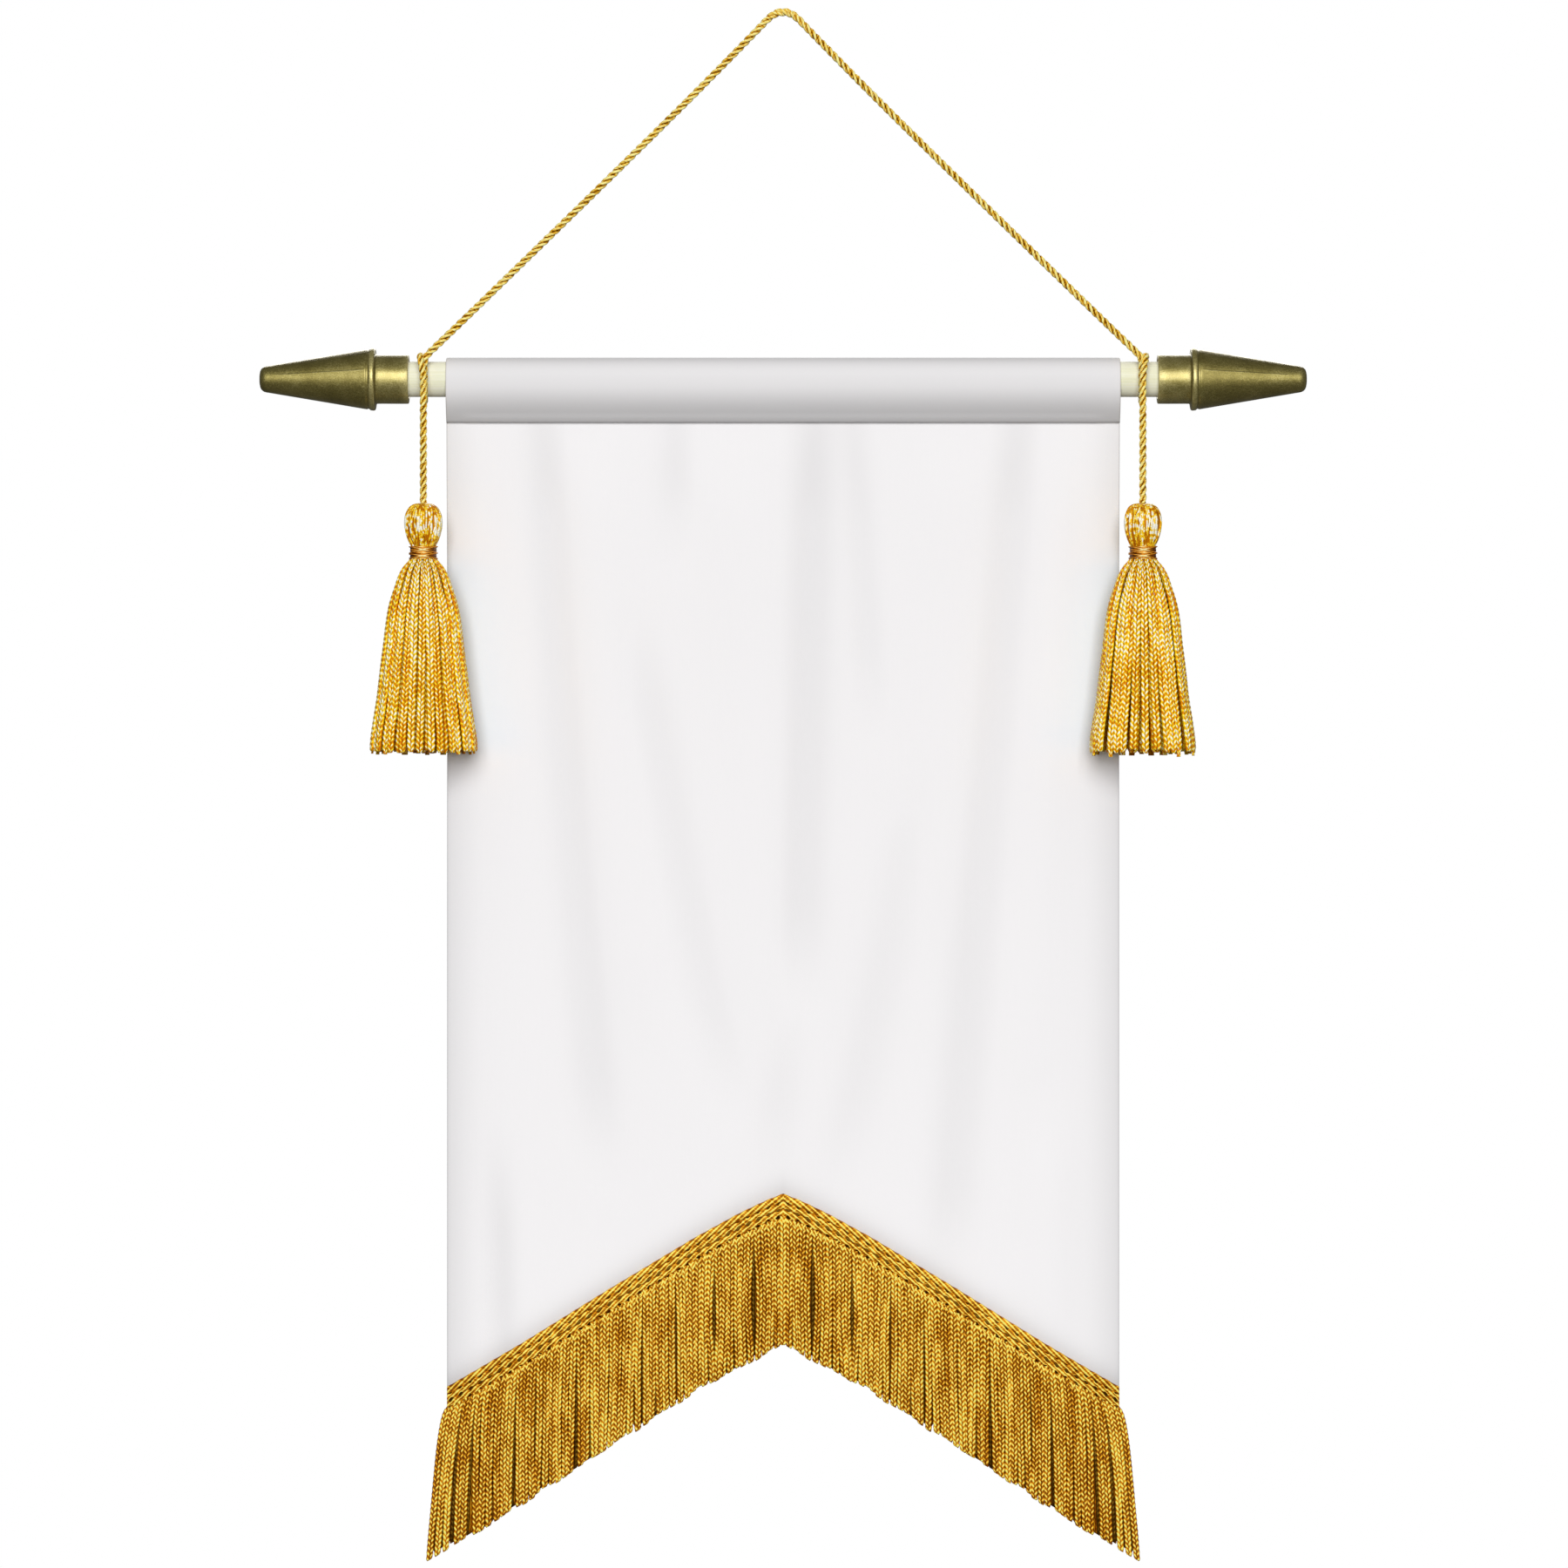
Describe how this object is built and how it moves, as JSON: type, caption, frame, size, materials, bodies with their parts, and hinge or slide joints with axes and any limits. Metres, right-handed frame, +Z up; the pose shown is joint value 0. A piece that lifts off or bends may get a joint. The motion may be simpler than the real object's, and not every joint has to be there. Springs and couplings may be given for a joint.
{
  "type": "podium banner with rod",
  "caption": "Blank white hanging banner with a notched, gold-fringed hem, on a wood rod with cone end caps, hung by a twisted gold cord with tassels.",
  "frame": {"origin": "underside of the cord's top bend, where a hook takes the banner, in the plane of the rod's axis", "axes": "+Z up, the banner's height; +X along the rod, to the right as seen from the front; +Y to the back, so the face looks along -Y"},
  "size_m": [0.4744, 0.0485, 0.7015],
  "materials": {
    "cloth": "matt white woven cloth",
    "wood": "bare pale sanded wood",
    "cap": "metallic gold paint, satin",
    "cord": "shiny gold rayon, laid in three strands",
    "tassel": "shiny bright gold rayon strands",
    "band": "wound gold-brown thread",
    "fringe": "shiny deep gold rayon, woven heading and looped strands"
  },
  "bodies": {
    "root": {"banner_cloth": "cloth", "dowel": "wood", "finial_left": "cap", "finial_right": "cap", "hanger_cord": "cord", "tassel_left": "tassel", "tassel_right": "tassel", "tassel_band_left": "band", "tassel_band_right": "band", "fringe": "fringe"}
  },
  "joints": []
}
